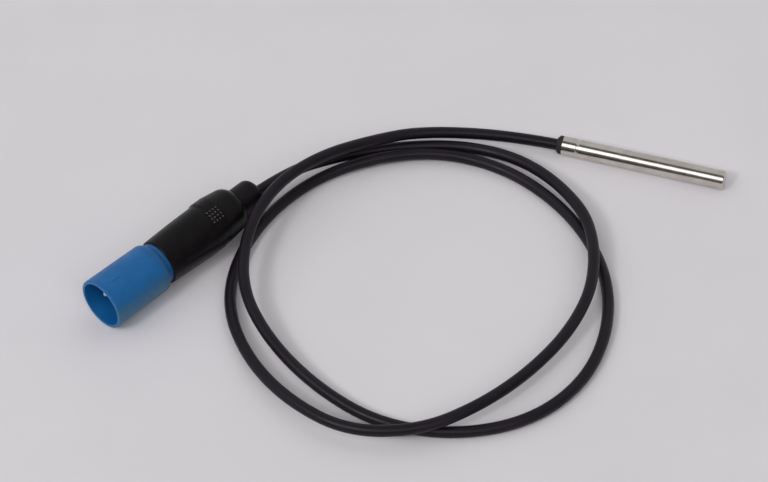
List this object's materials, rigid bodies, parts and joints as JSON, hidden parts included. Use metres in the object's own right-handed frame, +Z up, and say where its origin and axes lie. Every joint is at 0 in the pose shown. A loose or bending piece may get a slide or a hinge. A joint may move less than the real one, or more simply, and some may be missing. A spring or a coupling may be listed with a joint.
{
  "type": "ntc temperature sensor",
  "caption": "Thermistor temperature sensor: slim closed metal probe on a loosely coiled round cable, with a round blue and black plug whose open socket holds contact pins.",
  "frame": {"origin": "on the surface it lies on, under the middle of the box that holds the plug and the probe", "axes": "+X along the plug from its open mouth to its neck, +Z up"},
  "size_m": [0.1764, 0.1304, 0.0167],
  "materials": {
    "blue_plastic": "satin moulded",
    "black_plastic": "satin moulded",
    "cable_jacket": "satin extruded",
    "seal_rubber": "matte",
    "sleeve_steel": "bright drawn",
    "contact_metal": "bright plated",
    "wire_insulation": "satin",
    "shrink_tube": "satin",
    "tinned_wire": "bright tinned",
    "bead_coating": "dipped resin",
    "potting_resin": "cast"
  },
  "bodies": {
    "root": {"plug_shroud": "blue_plastic", "plug_body": "black_plastic", "contact_pin_left": "contact_metal", "contact_pin_right": "contact_metal", "plug_core_left": "wire_insulation", "plug_core_right": "wire_insulation", "cable": "cable_jacket", "sleeve_seal": "seal_rubber", "probe_sleeve": "sleeve_steel", "probe_core_left": "wire_insulation", "probe_core_right": "wire_insulation", "splice_tube_left": "shrink_tube", "splice_tube_right": "shrink_tube", "thermistor_lead_left": "tinned_wire", "thermistor_lead_right": "tinned_wire", "thermistor_bead": "bead_coating", "potting_fill": "potting_resin"}
  },
  "joints": []
}
